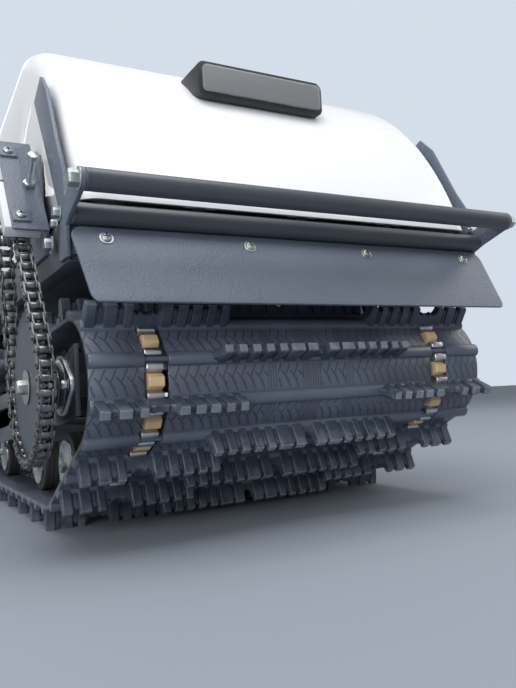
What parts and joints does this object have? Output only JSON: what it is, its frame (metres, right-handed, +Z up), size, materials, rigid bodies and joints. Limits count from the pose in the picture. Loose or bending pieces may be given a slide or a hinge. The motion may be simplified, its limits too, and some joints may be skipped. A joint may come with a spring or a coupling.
{
  "type": "tracked snow towing vehicle",
  "caption": "Walk-behind motor tow with one wide lugged rubber track, a side chain drive, a hinged engine hood, a folding handlebar and a swinging tow coupler.",
  "frame": {"origin": "on the ground under the middle of the machine's box", "axes": "-Y to the machine's front, +X to the right seen from the front, +Z up"},
  "size_m": [0.738, 1.634, 0.9246],
  "materials": {
    "track_rubber": "moulded, faint sheen",
    "tyre_rubber": "matte",
    "zinc": "bright zinc plate",
    "natural_plastic": "cast, uncoloured",
    "plain_steel": "turned",
    "black_paint": "satin powder coat",
    "slate_paint": "fine textured powder coat",
    "chain_steel": "oiled dark steel",
    "black_plastic": "moulded",
    "guide_plastic": "machined",
    "white_plastic": "smooth gloss",
    "clear_lens": "clear, ribbed"
  },
  "bodies": {
    "root": {"track": "track_rubber", "track_clips": "zinc", "drive_sprockets": "natural_plastic", "drive_shaft": "plain_steel", "shaft_bearings": "zinc", "bearing_plates": "black_paint", "road_rollers": "tyre_rubber", "roller_hub_caps": "zinc", "rear_idlers": "black_plastic", "wheel_axles": "plain_steel", "track_frame": "black_paint", "frame_uprights": "black_paint", "drive_chain": "chain_steel", "chain_sprockets": "plain_steel", "cross_shaft": "plain_steel", "cross_shaft_housing": "slate_paint", "chain_cover": "slate_paint", "chain_guide": "guide_plastic", "tension_bolt": "zinc", "side_rail_left": "black_paint", "side_rail_right": "black_paint", "engine_floor": "black_paint", "rear_cross_member": "black_paint", "rear_deck": "slate_paint", "cargo_rails": "black_paint", "rear_flap": "slate_paint", "bumper_top_bar": "black_paint", "bumper_lower_bar": "black_paint", "bumper_bracket_left": "slate_paint", "bumper_bracket_right": "slate_paint", "slotted_strip": "slate_paint", "front_flap": "slate_paint", "hood_buffers": "tyre_rubber", "engine_block": "plain_steel", "belt_guard": "black_paint", "pivot_brackets": "black_paint", "hitch_bracket": "black_paint", "hitch_pin": "zinc"},
    "hood": {"hood": "white_plastic", "headlight_pod": "black_plastic", "headlight_lens": "clear_lens"},
    "handlebar": {"handlebar": "black_paint", "hand_grips": "tyre_rubber", "control_console": "black_plastic", "control_levers": "black_plastic"},
    "coupler": {"tow_coupler": "zinc"}
  },
  "joints": [
    {"name": "hood_hinge", "type": "hinge", "parent": "root", "child": "hood", "pos_m": [0, -0.737, 0.413], "axis": [1, 0, 0], "range_deg": [0, 60]},
    {"name": "handlebar_fold", "type": "hinge", "parent": "root", "child": "handlebar", "pos_m": [0, 0.459, 0.432], "axis": [1, 0, 0], "range_deg": [0, 110]},
    {"name": "coupler_swing", "type": "hinge", "parent": "root", "child": "coupler", "pos_m": [0, 0.639, 0.366], "axis": [0, 0, 1], "range_deg": [-40, 40]}
  ]
}
